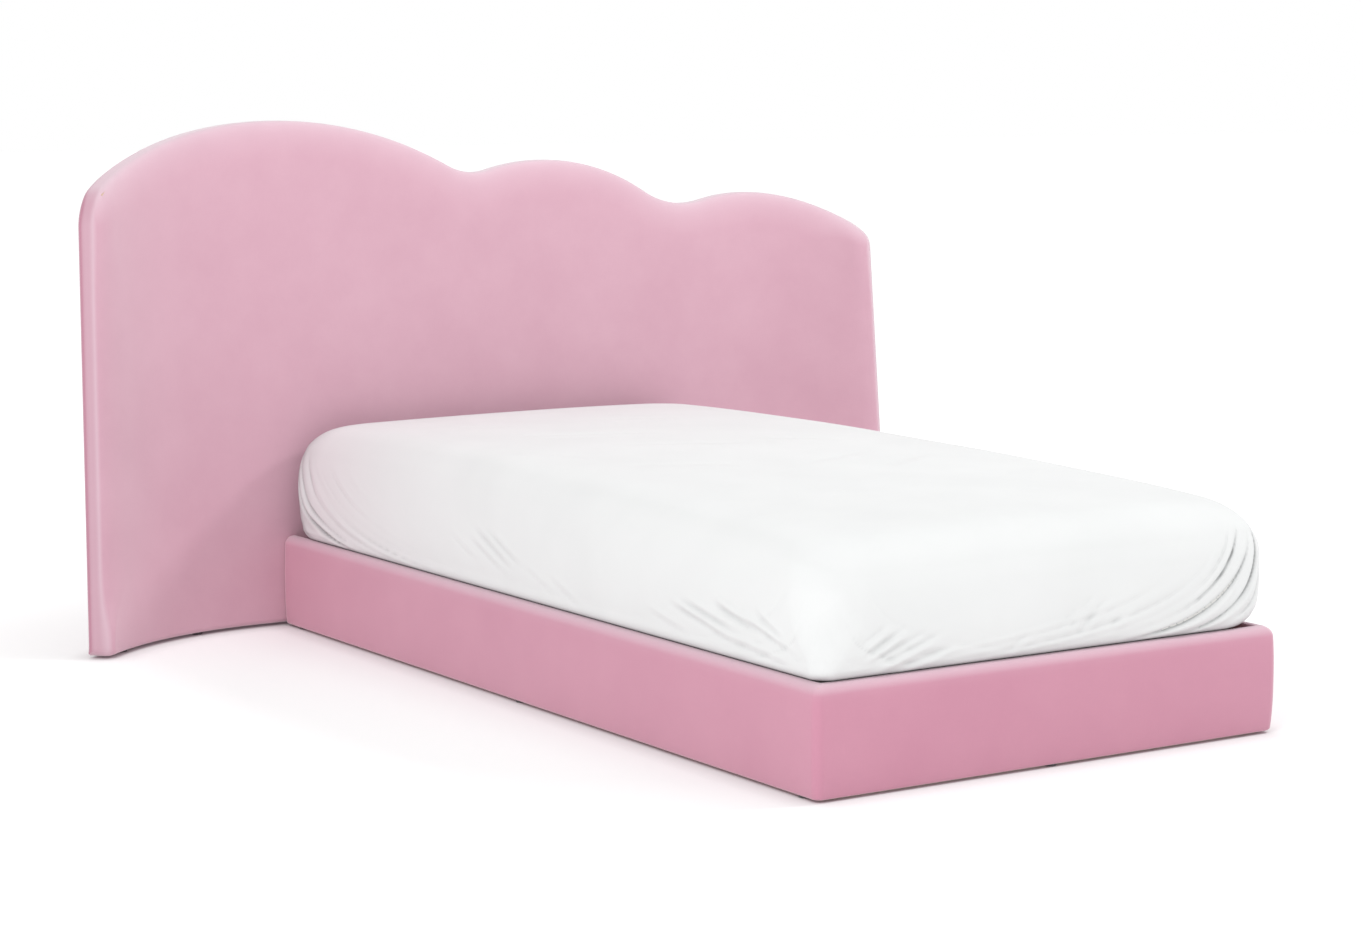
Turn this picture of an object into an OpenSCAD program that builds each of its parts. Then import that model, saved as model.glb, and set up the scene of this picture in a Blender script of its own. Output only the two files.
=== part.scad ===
// Low upholstered bed with a tall cloud-shaped headboard whose two wings curve forward.
// Frame: origin on the floor under the middle of the bed, X across, +Y to the headboard, +Z up.

/* [Mattress] */
// Width of the mattress
mattress_w = 1000; // [900:10:1200]
// Length of the mattress
mattress_l = 2000; // [1900:10:2100]
// Height of the mattress at the middle of its top
mattress_h = 288; // [240:2:320]
// How far the soft sides bulge out over the rails
mattress_bulge = 19; // [0:1:22]
// Corner radius of the mattress seen from above
mattress_corner = 75; // [40:5:110]

/* [Base] */
// Height of the upholstered rails, from the underside to the top
rail_h = 200; // [180:5:260]
// Clearance on each side of the mattress
mattress_gap = 2; // [1:1:10]
// Depth from the top of the rails down to the slats
well_depth = 30; // [25:1:60]
// Number of slats
slat_count = 16; // [10:1:20]
// Width of one slat
slat_w = 70; // [50:5:80]
// Rounding of the two foot corners seen from above
foot_corner_r = 16; // [14:1:20]
// Height of the glides under the rails and the headboard
glide_h = 5; // [4:1:12]

/* [Headboard] */
// Thickness of the headboard, cloth to cloth
head_t = 60; // [56:1:80]
// Half the width of the flat middle stretch
flat_half = 585; // [560:5:640]
// Radius of each wing's front face
wing_r = 615; // [560:5:700]
// Angle that each wing turns through
wing_angle = 42.5; // [30:0.5:48]
// Lean of the right side edge, in degrees
right_lean = 4.3; // [0:0.1:4.5]
// Rounding of the upper left corner
left_corner_r = 78; // [50:1:90]
// Rounding of the upper right corner
right_corner_r = 42; // [30:1:60]

/* [Cloud lobes] */
// Height of the left lobe
left_lobe_top = 1131; // [1115:1:1150]
// Radius of the left lobe
left_lobe_r = 942; // [930:1:960]
// Height of the middle lobe
middle_lobe_top = 1034; // [1020:1:1045]
// Radius of the middle lobe
middle_lobe_r = 535; // [520:1:550]
// Height of the right lobe
right_lobe_top = 947; // [935:1:955]
// Radius of the right lobe
right_lobe_r = 419; // [410:1:430]
// Radius of the left dip between lobes
left_dip_r = 150; // [120:5:180]
// Radius of the right dip between lobes
right_dip_r = 220; // [180:5:240]

/* [Hidden] */
$fn = 96;

// Sheet and board thicknesses
cloth_t = 1;
rail_foam_t = 8;
rail_top_foam_t = 4;
rail_board_t = 18;
head_rail_t = 24;
head_foam_t = 16;
edge_foam_t = 10;
face_panel_t = 9;
back_panel_t = 6;
rib_t = 18;
edge_strip_t = 18;

// Base, worked out from the mattress
rail_t = cloth_t + rail_foam_t + rail_board_t + cloth_t;
well_half = mattress_w / 2 + mattress_gap;
well_l = mattress_l + 2 * mattress_gap;
base_half = well_half + rail_t;
base_l = rail_t + well_l + head_rail_t;
foot_y = -(base_l + head_t) / 2;
front_y = foot_y + base_l;
well_foot_y = foot_y + rail_t;
well_head_y = well_foot_y + well_l;
rail_bottom = glide_h;
rail_top = glide_h + rail_h;
board_half = well_half + cloth_t;
board_bottom = rail_bottom + cloth_t;
board_top = rail_top - cloth_t - rail_top_foam_t;
outer_edge_r = 12;
inner_edge_r = 4;

// Slatted base
slat_t = 18;
slat_top = rail_top - well_depth;
slat_half = mattress_w / 2;
ledge_w = 22;
ledge_h = 34;
ledge_top = slat_top - slat_t;
block_w = 40;
block_bottom = 20;
block_top = ledge_top - 7;
block_gap = 2;
ledge_foot_y = well_foot_y - cloth_t + block_w + block_gap;
ledge_head_y = well_head_y - block_w - block_gap;
end_slat_gap = 8;
slats_foot_y = ledge_foot_y + end_slat_gap;
slats_head_y = ledge_head_y - end_slat_gap;
slat_pitch = (slats_head_y - slats_foot_y - slat_w) / (slat_count - 1);
tape_x = 250;
tape_w = 25;
// The rail covers turn over the boards and end just below the top of the slats
return_bottom = slat_top - 2;

// Fixings
bolt_r = 4;
bolt_hole_r = 4.3;
bolt_l = 70;
bolt_head_r = 7.5;
bolt_head_h = 5.3;
washer_r = 11;
washer_t = 1.6;
insert_r = 6;
insert_l = 13;
insert_bore_r = 4.05;
head_bolt_x = 360;
head_bolt_heights = [60, 130];
lag_r = 3.5;
lag_l = 52;
lag_heights_x = [45, 125];
lag_heights_y = [70, 100];
screw_r = 2;
screw_head_r = 4;
ledge_screw_l = 36;
ledge_screw_hole_r = 2.4;
ledge_screw_count = 7;
end_screw_in = 60;
slat_screw_l = 38;
nail_r = 1.25;
nail_l = 14;

// Headboard depths, measured back from its front face
panel_depth = cloth_t + head_foam_t;
rib_depth = panel_depth + face_panel_t;
back_panel_depth = head_t - cloth_t - back_panel_t;
panel_inset = cloth_t + edge_foam_t;
tip_r = head_t / 2;
tip_path_r = wing_r + tip_r;
panel_angle = wing_angle - edge_foam_t / tip_path_r * 180 / PI;
side_x = flat_half + tip_path_r * sin(wing_angle) + tip_r;
stud_w = 60;
middle_rib_z = 400;
upper_rib_z = 760;
rib_heights = [board_bottom, middle_rib_z, upper_rib_z];
stud_places = [-head_bolt_x, 0, head_bolt_x];
glide_r = 11;
head_glide_angles = [14, 36];

// Cloud outline: centre [x, z] and radius of each lobe, then of each dip
left_lobe = [-521, left_lobe_top - left_lobe_r];
middle_lobe = [167, middle_lobe_top - middle_lobe_r];
right_lobe = [729, right_lobe_top - right_lobe_r];
body_top = 700;
// How deep neighbouring arcs cut into each other, so that no two are exactly tangent
bite = 0.1;

// Mattress
mattress_bottom = slat_top + 1.3;
mattress_top = mattress_bottom + mattress_h;
mattress_y = (well_foot_y + well_head_y) / 2;
// Where the straight part of the mattress ends and its soft sides begin
rail_clear_z = rail_top + 1.5;
// Side profile above the rails: [share of the height, how far the side stands out]
side_profile = [
    [0, 0], [0.12, mattress_bulge * 0.7], [0.34, mattress_bulge], [0.62, mattress_bulge],
    [0.82, mattress_bulge * 0.5], [0.94, -16], [1, -60]
];
level_t = 1;
ticking_t = 3;
top_foam_t = 60;
hem_inset = 120;
elastic_w = 4;
elastic_t = 2;

velvet_pink = [0.86, 0.62, 0.71];
lining_pink = [0.72, 0.56, 0.61];
plywood_tan = [0.80, 0.66, 0.47];
pine_tan = [0.87, 0.74, 0.53];
foam_cream = [0.93, 0.90, 0.78];

// ---------- Cloud outline, drawn as [x, z] ----------

function toward(a, b) = (b - a) / norm(b - a);

// Centre of the round dip of radius r that rests between two lobes from above
function dip_centre(a, ra, b, rb, r) =
    let (
        gap = norm(b - a),
        u = toward(a, b),
        reach_a = ra + r - bite,
        reach_b = rb + r - bite,
        along = (reach_a ^ 2 - reach_b ^ 2 + gap ^ 2) / (2 * gap),
        up = sqrt(reach_a ^ 2 - along ^ 2)
    )
    a + along * u + up * [-u[1], u[0]];

// Centre of the round corner of radius r inside a lobe and the side line n . p = d
function corner_centre(c, rc, n, up, d, r) =
    let (
        k = d - r + bite - n * c,
        m = sqrt((rc - r + bite) ^ 2 - k ^ 2)
    )
    c + k * n + m * up;

left_dip = dip_centre(left_lobe, left_lobe_r, middle_lobe, middle_lobe_r, left_dip_r);
right_dip = dip_centre(middle_lobe, middle_lobe_r, right_lobe, right_lobe_r, right_dip_r);
right_normal = [cos(right_lean), sin(right_lean)];
right_up = [-sin(right_lean), cos(right_lean)];
right_d = side_x * cos(right_lean);
left_corner = corner_centre(
    left_lobe, left_lobe_r, [-1, 0], [0, 1], side_x, left_corner_r);
right_corner = corner_centre(
    right_lobe, right_lobe_r, right_normal, right_up, right_d, right_corner_r);

module lobe(centre, r) {
    translate(centre) circle(r);
}

// Fills the V between two lobes down to the round dip
module dip(a, b, centre, r) {
    difference() {
        polygon([a, b, centre]);
        translate(centre) circle(r);
    }
}

// What comes off a square corner to leave it round
module corner_waste(centre, lobe_centre, n, r) {
    reach = 300;
    u = toward(lobe_centre, centre);
    difference() {
        polygon([centre, centre + reach * n, centre + reach * (n + u), centre + reach * u]);
        translate(centre) circle(r);
    }
}

// The cloud, drawn in by inset along its side and top edges
module cloud_outline(inset, bottom) {
    reach = 1400;
    left_x = inset - side_x;
    right_foot_x = (right_d - inset) / cos(right_lean);
    difference() {
        intersection() {
            union() {
                translate([-reach, 0]) square([2 * reach, body_top]);
                lobe(left_lobe, left_lobe_r - inset);
                lobe(middle_lobe, middle_lobe_r - inset);
                lobe(right_lobe, right_lobe_r - inset);
                dip(left_lobe, middle_lobe, left_dip, left_dip_r + inset);
                dip(middle_lobe, right_lobe, right_dip, right_dip_r + inset);
            }
            polygon([
                [left_x, bottom],
                [right_foot_x - bottom * tan(right_lean), bottom],
                [right_foot_x - reach * tan(right_lean), reach],
                [left_x, reach]
            ]);
        }
        corner_waste(left_corner, left_lobe, [-1, 0], left_corner_r - inset);
        corner_waste(right_corner, right_lobe, right_normal, right_corner_r - inset);
    }
}

// ---------- Headboard plan, drawn as [x, y] ----------

module wing_plan(side, depth_0, depth_1, angle) {
    reach = 900;
    translate([side * flat_half, front_y - wing_r]) {
        intersection() {
            difference() {
                circle(wing_r + depth_1);
                circle(wing_r + depth_0);
            }
            polygon([[0, 0], [0, reach], [side * reach * tan(angle), reach]]);
        }
    }
}

// The strip between two depths behind the headboard's front face
module plan_strip(depth_0, depth_1, angle) {
    translate([-flat_half, front_y + depth_0]) {
        square([2 * flat_half, depth_1 - depth_0]);
    }
    for (side = [-1, 1]) {
        wing_plan(side, depth_0, depth_1, angle);
    }
}

module wing_tips(r) {
    for (side = [-1, 1]) {
        translate([
            side * (flat_half + tip_path_r * sin(wing_angle)),
            front_y - wing_r + tip_path_r * cos(wing_angle)
        ]) circle(r);
    }
}

// A curved slab of the headboard with the cloud outline
module cloud_slab(inset, bottom) {
    high = left_lobe_top + 100;
    deep = front_y + 400;
    intersection() {
        linear_extrude(high) children();
        translate([0, deep, 0]) {
            rotate([90, 0, 0]) linear_extrude(deep) cloud_outline(inset, bottom);
        }
    }
}

module head_bolt_holes(r) {
    for (x = [-head_bolt_x, head_bolt_x], z = head_bolt_heights) {
        translate([x, well_head_y - 1, z]) {
            rotate([-90, 0, 0]) cylinder(h = head_rail_t + head_t, r = r);
        }
    }
}

// ---------- Headboard ----------

module headboard_face_panel() {
    color(plywood_tan) difference() {
        cloud_slab(panel_inset, board_bottom) {
            plan_strip(panel_depth, rib_depth, panel_angle);
        }
        head_bolt_holes(bolt_hole_r);
    }
}

module headboard_back_panel() {
    color(plywood_tan) cloud_slab(panel_inset, board_bottom) {
        plan_strip(back_panel_depth, head_t - cloth_t, panel_angle);
    }
}

module rib(z) {
    color(pine_tan) translate([0, 0, z]) linear_extrude(rib_t) {
        plan_strip(rib_depth, back_panel_depth, panel_angle - 3.5);
    }
}

module headboard_lower_rib() {
    rib(rib_heights[0]);
}

module headboard_middle_rib() {
    rib(rib_heights[1]);
}

module headboard_upper_rib() {
    color(pine_tan) translate([0, 0, rib_heights[2]]) linear_extrude(rib_t) {
        plan_strip(rib_depth, back_panel_depth, panel_angle - 7);
    }
}

// Follows the cloud edge between the two panels
module headboard_edge_strip() {
    strip_bottom = upper_rib_z + rib_t;
    color(pine_tan) difference() {
        cloud_slab(panel_inset, strip_bottom) {
            plan_strip(rib_depth, back_panel_depth, panel_angle);
        }
        cloud_slab(panel_inset + edge_strip_t, strip_bottom - 1) {
            plan_strip(rib_depth - 1, back_panel_depth + 1, panel_angle - 1.5);
        }
    }
}

module headboard_studs() {
    color(pine_tan) difference() {
        for (i = [0, 1], x = stud_places) {
            low = rib_heights[i] + rib_t;
            translate([x - stud_w / 2, front_y + rib_depth, low]) {
                cube([stud_w, back_panel_depth - rib_depth, rib_heights[i + 1] - low]);
            }
        }
        head_bolt_holes(bolt_hole_r);
        for (x = [-head_bolt_x, head_bolt_x], z = head_bolt_heights) {
            translate([x, front_y + rib_depth - 1, z]) {
                rotate([-90, 0, 0]) cylinder(h = insert_l + 1, r = insert_r);
            }
        }
    }
}

module headboard_foam() {
    color(foam_cream) difference() {
        cloud_slab(cloth_t, board_bottom) {
            plan_strip(cloth_t, head_t - cloth_t, wing_angle);
            wing_tips(tip_r - cloth_t);
        }
        cloud_slab(panel_inset, board_bottom - 1) {
            plan_strip(panel_depth, head_t, panel_angle);
        }
        head_bolt_holes(bolt_hole_r);
    }
}

module headboard_cover() {
    color(velvet_pink) difference() {
        cloud_slab(0, rail_bottom) {
            plan_strip(0, head_t, wing_angle);
            wing_tips(tip_r);
        }
        cloud_slab(cloth_t, board_bottom) {
            plan_strip(cloth_t, head_t + 1, wing_angle);
            wing_tips(tip_r - cloth_t);
        }
        head_bolt_holes(bolt_hole_r);
    }
}

module headboard_back_cloth() {
    color(lining_pink) cloud_slab(cloth_t, board_bottom) {
        plan_strip(head_t - cloth_t, head_t, wing_angle - 0.5);
    }
}

module glide(top) {
    cylinder(h = top, r = glide_r);
    cylinder(h = top + nail_l, r = nail_r);
}

module headboard_glides() {
    color("dimgray") {
        for (x = stud_places) {
            translate([x, front_y + tip_r, 0]) glide(rail_bottom);
        }
        for (side = [-1, 1], angle = head_glide_angles) {
            translate([
                side * (flat_half + tip_path_r * sin(angle)),
                front_y - wing_r + tip_path_r * cos(angle),
                0
            ]) glide(rail_bottom);
        }
    }
}

module threaded_inserts() {
    color("silver") for (x = [-head_bolt_x, head_bolt_x], z = head_bolt_heights) {
        translate([x, front_y + rib_depth, z]) rotate([-90, 0, 0]) difference() {
            cylinder(h = insert_l, r = insert_r);
            translate([0, 0, -1]) cylinder(h = insert_l + 2, r = insert_bore_r);
        }
    }
}

module hex_bolt(length, r) {
    rotate([-90, 0, 0]) {
        cylinder(h = length, r = r);
        translate([0, 0, -bolt_head_h]) cylinder(h = bolt_head_h, r = bolt_head_r, $fn = 6);
    }
}

module headboard_bolts() {
    color("silver") for (x = [-head_bolt_x, head_bolt_x], z = head_bolt_heights) {
        translate([x, well_head_y - washer_t, z]) hex_bolt(bolt_l, bolt_r);
    }
}

module headboard_washers() {
    color("silver") for (x = [-head_bolt_x, head_bolt_x], z = head_bolt_heights) {
        translate([x, well_head_y, z]) rotate([90, 0, 0]) difference() {
            cylinder(h = washer_t, r = washer_r);
            translate([0, 0, -1]) cylinder(h = washer_t + 2, r = bolt_hole_r);
        }
    }
}

// ---------- Base boards ----------

module side_board() {
    translate([board_half, foot_y + cloth_t + rail_foam_t, board_bottom]) {
        cube([rail_board_t, base_l - cloth_t - rail_foam_t, board_top - board_bottom]);
    }
}

module left_rail_board() {
    color(plywood_tan) mirror([1, 0, 0]) side_board();
}

module right_rail_board() {
    color(plywood_tan) side_board();
}

module foot_rail_board() {
    color(plywood_tan) {
        translate([-board_half, foot_y + cloth_t + rail_foam_t, board_bottom]) {
            cube([2 * board_half, rail_board_t, board_top - board_bottom]);
        }
    }
}

module head_rail_board() {
    color(plywood_tan) difference() {
        translate([-well_half, well_head_y, board_bottom]) {
            cube([2 * well_half, head_rail_t, slat_top - board_bottom - 5]);
        }
        head_bolt_holes(bolt_hole_r);
    }
}

// ---------- Rail upholstery ----------

// Cross-section of a rail, drawn from its inner face outwards as [out, z]
module rail_section(inset) {
    width = rail_t - 2 * inset;
    low = rail_bottom + inset;
    high = rail_top - inset;
    outer_r = outer_edge_r - inset;
    inner_r = inner_edge_r - inset;
    translate([inset, low]) square([width, high - low - outer_r]);
    translate([inset + inner_r, low]) {
        square([width - inner_r - outer_r, high - low]);
    }
    translate([inset, low]) square([inner_r, high - low - inner_r]);
    translate([inset + inner_r, high - inner_r]) circle(inner_r);
    translate([rail_t - inset - outer_r, high - outer_r]) circle(outer_r);
}

// What the foam leaves to the board
module board_section() {
    square([cloth_t + rail_board_t, board_top]);
}

// Where the cloth stops short: below its turn over the inner edge, and along the underside
module bare_section() {
    square([cloth_t + bite, return_bottom]);
    square([rail_t / 3, board_bottom + bite]);
}

// Outline of the base seen from above, drawn in by inset
module base_plan(inset) {
    r = foot_corner_r - inset;
    half_w = base_half - inset;
    low = foot_y + inset;
    translate([-half_w, low + r]) square([2 * half_w, base_l - r + bite]);
    translate([r - half_w, low]) square([2 * (half_w - r), base_l]);
    for (side = [-1, 1]) {
        translate([side * (half_w - r), low + r]) circle(r);
    }
}

// Runs a section along the right-hand rail and mitres it at the foot, past each end by extra
module along_side(extra) {
    intersection() {
        translate([well_half, front_y + extra, 0]) {
            rotate([90, 0, 0]) linear_extrude(base_l + 2 * extra) children();
        }
        linear_extrude(rail_top + 1) polygon([
            [well_half, well_foot_y - extra],
            [base_half, foot_y - extra],
            [base_half, front_y + extra],
            [well_half, front_y + extra]
        ]);
    }
}

// Runs a section along the foot rail and mitres both ends, past them by extra
module along_foot(extra) {
    intersection() {
        translate([-base_half - extra, well_foot_y, 0]) {
            rotate([90, 0, 90]) linear_extrude(2 * (base_half + extra)) {
                mirror([1, 0]) children();
            }
        }
        linear_extrude(rail_top + 1) polygon([
            [-base_half - extra, foot_y],
            [base_half + extra, foot_y],
            [well_half + extra, well_foot_y],
            [-well_half - extra, well_foot_y]
        ]);
    }
}

module side_body(inset, extra = 0) {
    intersection() {
        along_side(extra) rail_section(inset);
        linear_extrude(rail_top + 1) base_plan(inset);
    }
}

module foot_body(inset, extra = 0) {
    intersection() {
        along_foot(extra) rail_section(inset);
        linear_extrude(rail_top + 1) base_plan(inset);
    }
}

module side_foam() {
    difference() {
        side_body(cloth_t);
        along_side(bite) board_section();
    }
}

module side_cover() {
    difference() {
        side_body(0);
        side_body(cloth_t, bite);
        along_side(bite) bare_section();
    }
}

module left_rail_foam() {
    color(foam_cream) mirror([1, 0, 0]) side_foam();
}

module right_rail_foam() {
    color(foam_cream) side_foam();
}

module foot_rail_foam() {
    color(foam_cream) difference() {
        foot_body(cloth_t);
        along_foot(bite) board_section();
    }
}

module left_rail_cover() {
    color(velvet_pink) mirror([1, 0, 0]) side_cover();
}

module right_rail_cover() {
    color(velvet_pink) side_cover();
}

module foot_rail_cover() {
    color(velvet_pink) difference() {
        foot_body(0);
        foot_body(cloth_t, bite);
        along_foot(bite) bare_section();
    }
}

// ---------- Corner joints ----------

// Places children at the four inner corners, with +X and +Y towards the middle of the bed
module at_corners() {
    for (side = [-1, 1]) {
        translate([side * board_half, well_foot_y - cloth_t, 0]) {
            mirror([side > 0 ? 1 : 0, 0, 0]) children();
        }
        translate([side * board_half, well_head_y, 0]) {
            mirror([side > 0 ? 1 : 0, 0, 0]) mirror([0, 1, 0]) children();
        }
    }
}

// A lag bolt along +Y whose head bears on the block's inner face
module lag_bolt() {
    translate([0, block_w, 0]) rotate([0, 0, 180]) hex_bolt(lag_l, lag_r);
}

module corner_blocks() {
    color(pine_tan) at_corners() difference() {
        translate([0, 0, block_bottom]) {
            cube([block_w, block_w, block_top - block_bottom]);
        }
        for (z = lag_heights_y) {
            translate([block_w / 2, -1, z]) {
                rotate([-90, 0, 0]) cylinder(h = block_w + 2, r = bolt_hole_r);
            }
        }
        for (z = lag_heights_x) {
            translate([-1, block_w / 2, z]) {
                rotate([0, 90, 0]) cylinder(h = block_w + 2, r = bolt_hole_r);
            }
        }
    }
}

module corner_bolts() {
    color("silver") at_corners() {
        for (z = lag_heights_y) {
            translate([block_w / 2, 0, z]) lag_bolt();
        }
        for (z = lag_heights_x) {
            translate([0, block_w / 2, z]) rotate([0, 0, -90]) lag_bolt();
        }
    }
}

// ---------- Slatted base ----------

function ledge_screw_y(i) =
    ledge_foot_y + end_screw_in
    + i * (ledge_head_y - ledge_foot_y - 2 * end_screw_in) / (ledge_screw_count - 1);

module right_ledge() {
    color(pine_tan) difference() {
        translate([board_half - ledge_w, ledge_foot_y, ledge_top - ledge_h]) {
            cube([ledge_w, ledge_head_y - ledge_foot_y, ledge_h]);
        }
        for (i = [0 : ledge_screw_count - 1]) {
            translate([board_half - ledge_w - 1, ledge_screw_y(i), ledge_top - ledge_h / 2]) {
                rotate([0, 90, 0]) cylinder(h = ledge_w + 2, r = ledge_screw_hole_r);
            }
        }
    }
}

module left_slat_ledge() {
    mirror([1, 0, 0]) right_ledge();
}

module right_slat_ledge() {
    right_ledge();
}

// A pan-head screw along +X, the underside of its head at the origin
module pan_screw(length) {
    head_h = 2.4;
    rotate([0, 90, 0]) {
        cylinder(h = length, r = screw_r);
        translate([0, 0, -head_h]) cylinder(h = head_h, r = screw_head_r);
    }
}

module ledge_screws() {
    color("silver") for (side = [-1, 1], i = [0 : ledge_screw_count - 1]) {
        mirror([side < 0 ? 1 : 0, 0, 0]) {
            translate([board_half - ledge_w, ledge_screw_y(i), ledge_top - ledge_h / 2]) {
                pan_screw(ledge_screw_l);
            }
        }
    }
}

module slats() {
    color(pine_tan) for (i = [0 : slat_count - 1]) {
        translate([-slat_half, slats_foot_y + i * slat_pitch, ledge_top]) {
            cube([2 * slat_half, slat_w, slat_t]);
        }
    }
}

module slat_tapes() {
    color("whitesmoke") for (x = [-tape_x, tape_x]) {
        translate([x - tape_w / 2, slats_foot_y, ledge_top - cloth_t]) {
            cube([tape_w, slats_head_y - slats_foot_y, cloth_t]);
        }
    }
}

module slat_screws() {
    color("silver") {
        for (side = [-1, 1], y = [slats_foot_y + slat_w / 2, slats_head_y - slat_w / 2]) {
            translate([side * (board_half - ledge_w / 2), y, slat_top - slat_screw_l]) {
                cylinder(h = slat_screw_l, r = screw_r);
                translate([0, 0, slat_screw_l - screw_head_r / 2]) {
                    cylinder(h = screw_head_r / 2, r1 = screw_r, r2 = screw_head_r);
                }
            }
        }
    }
}

module base_glides() {
    glide_x = board_half + rail_board_t / 2;
    end_in = 60;
    side_places = [foot_y + end_in, (foot_y + front_y) / 2, front_y - end_in];
    color("dimgray") {
        for (side = [-1, 1], y = side_places) {
            translate([side * glide_x, y, 0]) glide(rail_bottom);
        }
        translate([0, foot_y + cloth_t + rail_foam_t + rail_board_t / 2, 0]) glide(rail_bottom);
    }
}

// ---------- Mattress ----------

module rounded_rectangle(half_w, half_l, r) {
    square([2 * half_w, 2 * (half_l - r)], center = true);
    square([2 * (half_w - r), 2 * half_l], center = true);
    for (x = [-1, 1], y = [-1, 1]) {
        translate([x * (half_w - r), y * (half_l - r)]) circle(r, $fn = 32);
    }
}

// A level slab of the mattress, grown by out on every side; drawn in, its corners get softer
module level(out, z, thickness) {
    half_w = mattress_w / 2 - 1 + out;
    half_l = mattress_l / 2 - 1 + out;
    r = mattress_corner + (out > 0 ? out : -0.6 * out);
    translate([0, mattress_y, z]) linear_extrude(thickness) {
        rounded_rectangle(half_w, half_l, r);
    }
}

// The whole mattress: a straight part in the well and a soft, rounded part above the rails
module mattress_body(inset) {
    low = mattress_bottom + inset;
    high = mattress_top - inset - level_t;
    top_span = high - rail_clear_z;
    level(-inset, low, rail_clear_z + level_t - low);
    hull() {
        for (p = side_profile) {
            level(p[1] - inset, rail_clear_z + p[0] * top_span, level_t);
        }
    }
}

module mattress_core() {
    color(foam_cream) intersection() {
        mattress_body(cloth_t + ticking_t);
        translate([-mattress_w, -mattress_l, 0]) {
            cube([2 * mattress_w, 2 * mattress_l, mattress_top - top_foam_t]);
        }
    }
}

module mattress_top_foam() {
    color("white") intersection() {
        mattress_body(cloth_t + ticking_t);
        translate([-mattress_w, -mattress_l, mattress_top - top_foam_t]) {
            cube([2 * mattress_w, 2 * mattress_l, top_foam_t]);
        }
    }
}

module mattress_ticking() {
    color("ghostwhite") difference() {
        mattress_body(cloth_t);
        mattress_body(cloth_t + ticking_t);
    }
}

module hem_opening(out) {
    half_w = mattress_w / 2 - hem_inset + out;
    half_l = mattress_l / 2 - hem_inset + out;
    translate([0, mattress_y]) rounded_rectangle(half_w, half_l, mattress_corner);
}

module fitted_sheet() {
    color("white") difference() {
        mattress_body(0);
        mattress_body(cloth_t);
        linear_extrude(mattress_bottom + cloth_t + 1) hem_opening(0);
    }
}

module sheet_elastic() {
    top_z = mattress_bottom + cloth_t;
    color("white") translate([0, 0, top_z - elastic_t]) linear_extrude(elastic_t) {
        difference() {
            hem_opening(0);
            hem_opening(-elastic_w);
        }
    }
}

headboard_face_panel();
headboard_back_panel();
headboard_lower_rib();
headboard_middle_rib();
headboard_upper_rib();
headboard_edge_strip();
headboard_studs();
headboard_foam();
headboard_cover();
headboard_back_cloth();
headboard_glides();
threaded_inserts();
headboard_bolts();
headboard_washers();
left_rail_board();
right_rail_board();
foot_rail_board();
head_rail_board();
left_rail_foam();
right_rail_foam();
foot_rail_foam();
left_rail_cover();
right_rail_cover();
foot_rail_cover();
corner_blocks();
corner_bolts();
left_slat_ledge();
right_slat_ledge();
ledge_screws();
slats();
slat_tapes();
slat_screws();
base_glides();
mattress_core();
mattress_top_foam();
mattress_ticking();
fitted_sheet();
sheet_elastic();
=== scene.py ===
import math

import bpy
import numpy as np
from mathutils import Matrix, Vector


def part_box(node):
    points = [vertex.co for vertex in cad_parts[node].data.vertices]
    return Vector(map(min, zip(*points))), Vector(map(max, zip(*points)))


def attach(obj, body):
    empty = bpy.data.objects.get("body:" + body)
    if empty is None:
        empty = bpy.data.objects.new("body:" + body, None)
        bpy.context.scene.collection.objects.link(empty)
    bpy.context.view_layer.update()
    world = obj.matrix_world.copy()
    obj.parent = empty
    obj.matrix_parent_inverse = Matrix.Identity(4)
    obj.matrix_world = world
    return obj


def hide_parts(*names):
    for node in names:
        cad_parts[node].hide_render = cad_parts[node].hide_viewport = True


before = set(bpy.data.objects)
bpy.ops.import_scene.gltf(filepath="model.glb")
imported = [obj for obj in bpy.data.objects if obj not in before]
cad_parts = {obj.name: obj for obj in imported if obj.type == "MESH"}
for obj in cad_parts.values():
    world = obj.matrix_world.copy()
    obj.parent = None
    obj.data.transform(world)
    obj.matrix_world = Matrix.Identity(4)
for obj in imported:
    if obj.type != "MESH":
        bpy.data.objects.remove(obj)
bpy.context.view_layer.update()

# ---------- Sizes, in metres, as the CAD model has them ----------

HEAD_LOW, HEAD_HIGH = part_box("headboard_cover")
RAIL_LOW, RAIL_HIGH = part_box("foot_rail_cover")
SHEET_LOW, SHEET_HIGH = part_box("fitted_sheet")

HEAD_THICK = 0.060
FRONT_Y = HEAD_HIGH.y - HEAD_THICK
# Seen from above, the headboard is flat for FLAT_HALF to each side and then bends with WING_R
FLAT_HALF = 0.585
WING_R = 0.615
MID_R = WING_R + HEAD_THICK / 2
TIP_R = HEAD_THICK / 2
RIGHT_LEAN = math.radians(2.65)
# Each lobe of the cloud: x of its centre, height of its top, radius
LOBES = [(-0.521, 1.131, 0.942), (0.167, 1.034, 0.535), (0.729, 0.947, 0.419)]
DIP_RADII = [0.150, 0.220]
TOP_CORNER_RADII = [0.098, 0.055]
BOTTOM_CORNER_R = 0.018

# The well is the space between the rails, where the mattress lies
RAIL_T = 0.028
WELL_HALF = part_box("right_rail_cover")[1].x - RAIL_T
WELL_FOOT_Y = RAIL_LOW.y + RAIL_T
RAIL_BOTTOM = RAIL_LOW.z
RAIL_TOP = RAIL_HIGH.z
FOOT_CORNER_R = 0.016

# The plain mattress rectangle, which the sides of the CAD sheet stand out from
CAD_SHEET_SWELL = 0.019
MATTRESS_Y = (SHEET_LOW.y + SHEET_HIGH.y) / 2
MATTRESS_HALF_W = SHEET_HIGH.x - CAD_SHEET_SWELL
MATTRESS_HALF_L = (SHEET_HIGH.y - SHEET_LOW.y) / 2 - CAD_SHEET_SWELL

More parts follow.
